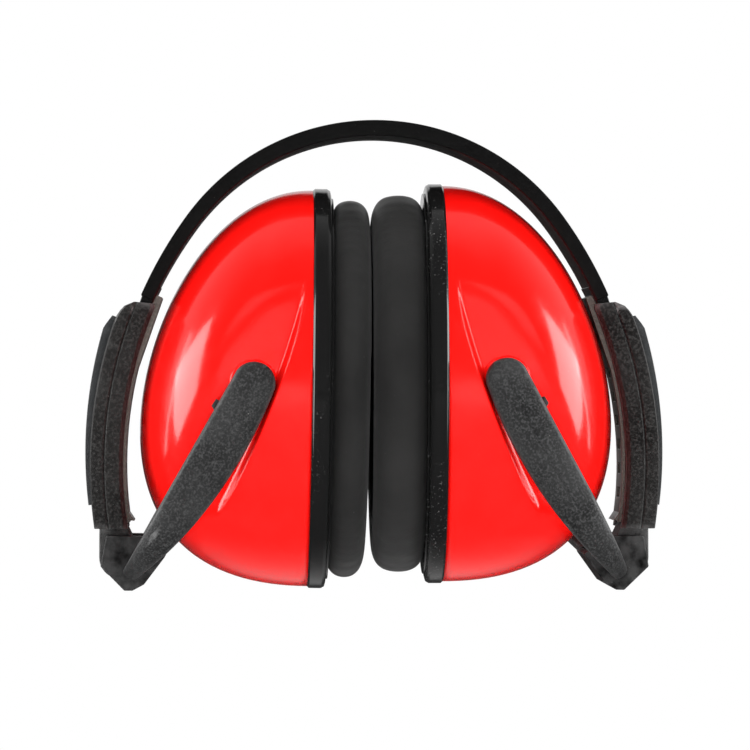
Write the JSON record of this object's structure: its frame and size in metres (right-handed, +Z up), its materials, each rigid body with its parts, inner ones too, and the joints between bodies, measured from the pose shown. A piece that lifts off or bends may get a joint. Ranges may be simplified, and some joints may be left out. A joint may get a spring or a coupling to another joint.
{
  "type": "folding earmuffs",
  "caption": "Folded hearing protection earmuffs: sprung headband, sliding adjusters, folding forks and deep oval cups with soft cushions.",
  "frame": {"origin": "on the ground, under the middle of the folded object", "axes": "+X from the left cup to the right cup, +Y from the front to the back, +Z up towards the crown of the band"},
  "size_m": [0.1434, 0.08, 0.1164],
  "materials": {
    "band_plastic": "satin black moulded plastic",
    "slider_plastic": "fine grained dark grey plastic",
    "tab_plastic": "satin dark grey plastic",
    "fork_plastic": "satin black plastic",
    "bush_plastic": "plain black plastic",
    "cup_plastic": "glossy red moulded plastic",
    "rim_plastic": "glossy black plastic",
    "plate_plastic": "plain black plastic",
    "cushion_skin": "soft matte black vinyl skin over foam",
    "foam": "open celled dark foam",
    "steel": "plain steel pin"
  },
  "bodies": {
    "band": {"headband": "band_plastic"},
    "left_slider": {"left_slider_shell": "slider_plastic", "left_slider_cover": "slider_plastic", "left_tab_pin": "steel", "left_fold_pin": "steel"},
    "left_tab": {"left_adjuster_tab": "tab_plastic"},
    "left_arms": {"left_fork": "fork_plastic"},
    "left_bushes": {"left_pivot_bushes": "bush_plastic"},
    "left_cup": {"left_cup_shell": "cup_plastic", "left_cup_rim": "rim_plastic", "left_seal_plate": "plate_plastic", "left_cushion": "cushion_skin", "left_foam_liner": "foam"},
    "right_slider": {"right_slider_shell": "slider_plastic", "right_slider_cover": "slider_plastic", "right_tab_pin": "steel", "right_fold_pin": "steel"},
    "right_tab": {"right_adjuster_tab": "tab_plastic"},
    "right_arms": {"right_fork": "fork_plastic"},
    "right_bushes": {"right_pivot_bushes": "bush_plastic"},
    "right_cup": {"right_cup_shell": "cup_plastic", "right_cup_rim": "rim_plastic", "right_seal_plate": "plate_plastic", "right_cushion": "cushion_skin", "right_foam_liner": "foam"}
  },
  "joints": [
    {"name": "left_slide", "type": "hinge", "parent": "band", "child": "left_slider", "pos_m": [0.038, 0, 0.031], "axis": [0, -1, 0], "range_deg": [0, 13.5]},
    {"name": "left_tab_flex", "type": "hinge", "parent": "left_slider", "child": "left_tab", "pos_m": [-0.06826, 0, 0.02133], "axis": [0, -1, 0], "range_deg": [-1.2, 1.2], "stiffness_Nm_per_rad": 0.5},
    {"name": "left_fold", "type": "hinge", "parent": "left_slider", "child": "left_arms", "pos_m": [-0.063, 0, 0.008], "axis": [0, 1, 0], "range_deg": [0, 130]},
    {"name": "left_level", "type": "hinge", "parent": "left_arms", "child": "left_bushes", "pos_m": [-0.03011, 0, 0.05133], "axis": [0, 1, 0], "range_deg": [-130, 0]},
    {"name": "left_tilt", "type": "hinge", "parent": "left_bushes", "child": "left_cup", "pos_m": [-0.03011, 0, 0.05133], "axis": [0, 1, 0], "range_deg": [-2.5, 6], "deforming": ["left_cushion"]},
    {"name": "right_slide", "type": "hinge", "parent": "band", "child": "right_slider", "pos_m": [-0.038, 0, 0.031], "axis": [0, 1, 0], "range_deg": [0, 13.5]},
    {"name": "right_tab_flex", "type": "hinge", "parent": "right_slider", "child": "right_tab", "pos_m": [0.06826, 0, 0.02133], "axis": [0, 1, 0], "range_deg": [-1.2, 1.2], "stiffness_Nm_per_rad": 0.5},
    {"name": "right_fold", "type": "hinge", "parent": "right_slider", "child": "right_arms", "pos_m": [0.063, 0, 0.008], "axis": [0, -1, 0], "range_deg": [0, 130]},
    {"name": "right_level", "type": "hinge", "parent": "right_arms", "child": "right_bushes", "pos_m": [0.03141, 0, 0.05229], "axis": [0, -1, 0], "range_deg": [-130, 0]},
    {"name": "right_tilt", "type": "hinge", "parent": "right_bushes", "child": "right_cup", "pos_m": [0.03141, 0, 0.05229], "axis": [0, -1, 0], "range_deg": [-2.5, 6], "deforming": ["right_cushion"]}
  ],
  "couplings": [
    {"joint": "left_level", "follows": "left_fold", "ratio": -1},
    {"joint": "right_level", "follows": "right_fold", "ratio": -1}
  ]
}
